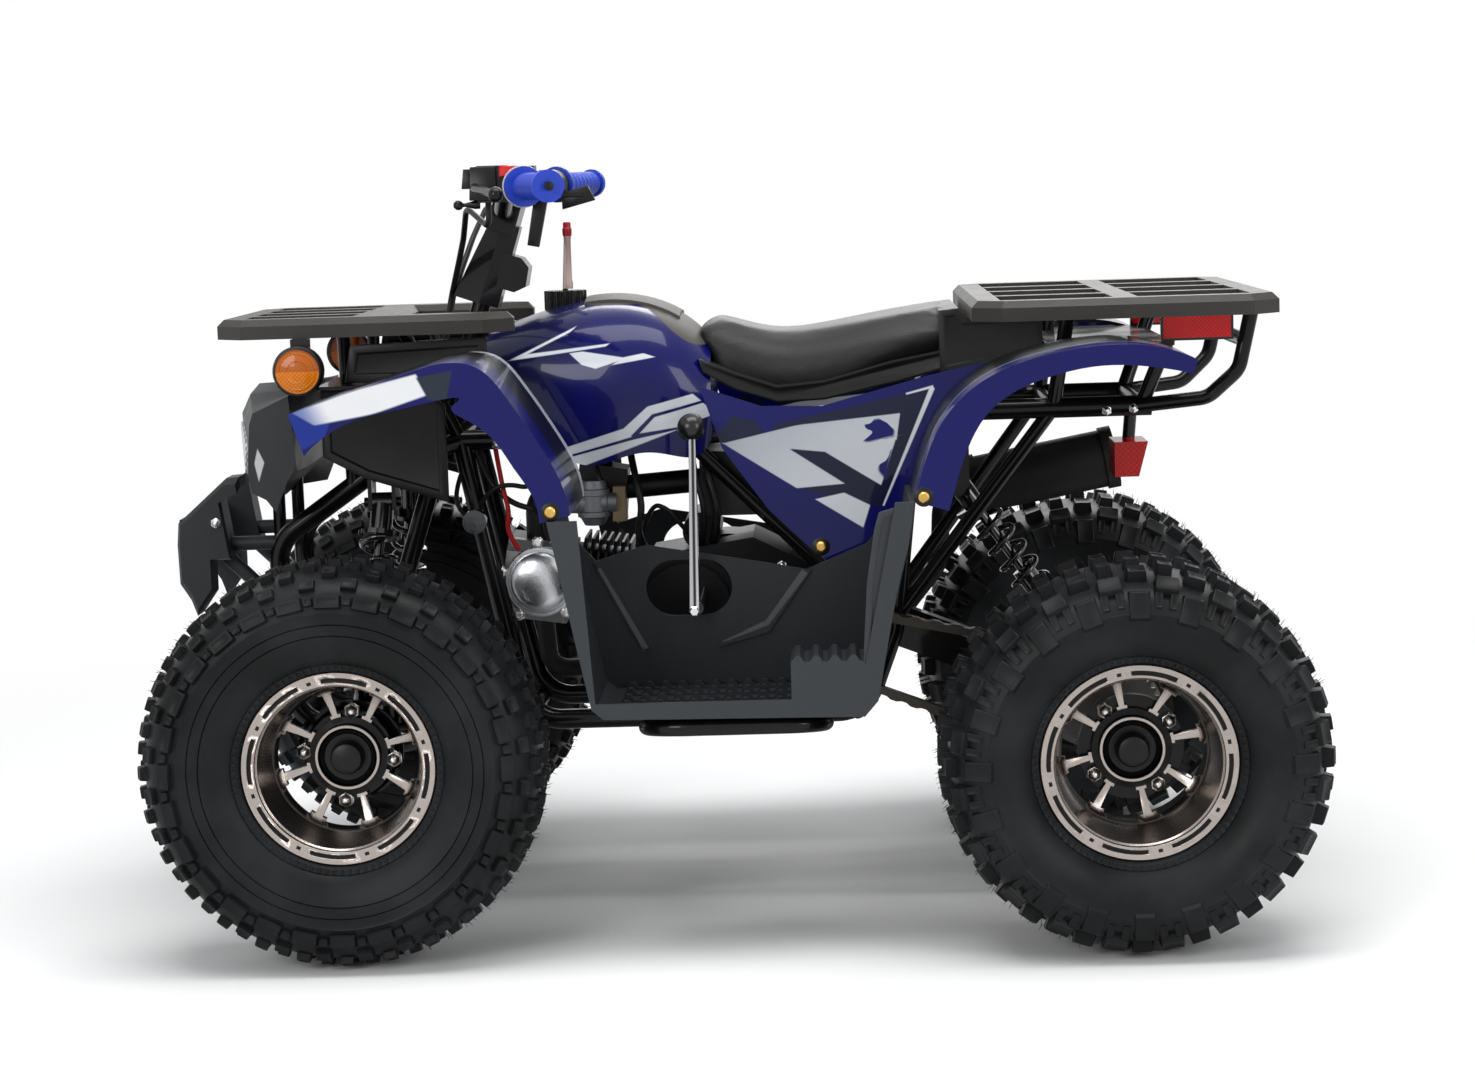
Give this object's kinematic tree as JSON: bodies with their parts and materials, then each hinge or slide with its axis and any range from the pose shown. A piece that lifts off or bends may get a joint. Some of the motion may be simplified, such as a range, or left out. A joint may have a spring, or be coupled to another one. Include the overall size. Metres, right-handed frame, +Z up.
{
  "type": "quad bike",
  "caption": "Small utility quad bike with front and rear racks, chain drive to a solid rear axle and handlebar steering.",
  "frame": {"origin": "on the floor, under the centre of the bounding box", "axes": "+X rearward along the length, +Y to the rider's right, +Z up"},
  "size_m": [1.392, 0.962, 0.929],
  "materials": {
    "frame_black": "satin black paint",
    "tyre_rubber": "moulded rubber",
    "rim_metal": "machined and black lacquered alloy",
    "cast_metal": "bare casting",
    "steel": "machined steel",
    "chain_steel": "oiled roller chain",
    "exhaust_black": "heat proof black",
    "body_blue": "deep gloss blue",
    "trim_charcoal": "textured charcoal plastic",
    "rack_grey": "grey brown moulded plastic",
    "seat_vinyl": "black grained vinyl",
    "grip_blue": "blue rubber",
    "control_black": "black plastic",
    "amber_lens": "amber lens",
    "clear_lens": "clear lamp lens",
    "red_lens": "red lens",
    "chrome_rod": "chrome plate"
  },
  "bodies": {
    "root": {"frame": "frame_black", "front_frame": "frame_black", "rear_subframe": "frame_black", "front_bumper": "trim_charcoal", "control_arm_left": "frame_black", "control_arm_right": "frame_black", "front_shock_left": "steel", "front_shock_right": "steel", "swingarm": "frame_black", "rear_shock": "steel", "engine": "cast_metal", "exhaust": "exhaust_black", "intake": "cast_metal", "tank_cover": "body_blue", "fuel_cap": "control_black", "seat": "seat_vinyl", "front_fender": "body_blue", "front_mask": "trim_charcoal", "headlights": "clear_lens", "side_panel_left": "body_blue", "side_panel_right": "body_blue", "rear_fender": "body_blue", "footwell_left": "trim_charcoal", "footwell_right": "trim_charcoal", "front_rack": "rack_grey", "rear_rack": "rack_grey", "rack_supports": "frame_black", "amber_reflectors": "amber_lens", "red_reflectors": "red_lens", "tail_light": "red_lens", "grab_loop": "frame_black", "chain": "chain_steel", "shift_lever": "chrome_rod", "horn": "chrome_rod"},
    "steering": {"steering_stem": "frame_black", "handlebar": "frame_black", "grip_left": "grip_blue", "grip_right": "grip_blue", "hand_controls_left": "control_black", "hand_controls_right": "control_black", "brake_lever_left": "control_black", "brake_lever_right": "control_black", "control_cables": "control_black"},
    "knuckle_left": {"knuckle_left": "frame_black"},
    "knuckle_right": {"knuckle_right": "frame_black"},
    "tie_rod_left": {"tie_rod_left": "steel"},
    "tie_rod_right": {"tie_rod_right": "steel"},
    "wheel_front_left": {"tyre_front_left": "tyre_rubber", "rim_front_left": "rim_metal", "front_hub_left": "cast_metal"},
    "wheel_front_right": {"tyre_front_right": "tyre_rubber", "rim_front_right": "rim_metal", "front_hub_right": "cast_metal"},
    "rear_axle": {"rear_axle": "steel", "rear_sprocket": "steel", "brake_disc": "steel", "tyre_rear_left": "tyre_rubber", "tyre_rear_right": "tyre_rubber", "rim_rear_left": "rim_metal", "rim_rear_right": "rim_metal"}
  },
  "joints": [
    {"name": "steering_turn", "type": "hinge", "parent": "root", "child": "steering", "pos_m": [-0.36261, 0, 0.6], "axis": [0.309, 0, 0.9511], "range_deg": [-30, 30]},
    {"name": "knuckle_left_steer", "type": "hinge", "parent": "root", "child": "knuckle_left", "pos_m": [-0.455, -0.276, 0.241], "axis": [0, 0, 1], "range_deg": [-30, 30]},
    {"name": "knuckle_right_steer", "type": "hinge", "parent": "root", "child": "knuckle_right", "pos_m": [-0.455, 0.276, 0.241], "axis": [0, 0, 1], "range_deg": [-30, 30]},
    {"name": "tie_rod_left_swing", "type": "hinge", "parent": "knuckle_left", "child": "tie_rod_left", "pos_m": [-0.409, -0.276, 0.275], "axis": [0, 0, 1], "range_deg": [-30, 30]},
    {"name": "tie_rod_right_swing", "type": "hinge", "parent": "knuckle_right", "child": "tie_rod_right", "pos_m": [-0.409, 0.276, 0.275], "axis": [0, 0, 1], "range_deg": [-30, 30]},
    {"name": "wheel_front_left_spin", "type": "hinge", "parent": "knuckle_left", "child": "wheel_front_left", "pos_m": [-0.455, -0.354, 0.241], "axis": [0, 1, 0], "continuous": true},
    {"name": "wheel_front_right_spin", "type": "hinge", "parent": "knuckle_right", "child": "wheel_front_right", "pos_m": [-0.455, 0.354, 0.241], "axis": [0, 1, 0], "continuous": true},
    {"name": "rear_axle_spin", "type": "hinge", "parent": "root", "child": "rear_axle", "pos_m": [0.467, 0, 0.229], "axis": [0, 1, 0], "continuous": true}
  ],
  "couplings": [
    {"joint": "knuckle_left_steer", "follows": "steering_turn", "ratio": 1},
    {"joint": "knuckle_right_steer", "follows": "steering_turn", "ratio": 1},
    {"joint": "tie_rod_left_swing", "follows": "steering_turn", "ratio": -1},
    {"joint": "tie_rod_right_swing", "follows": "steering_turn", "ratio": -1}
  ]
}
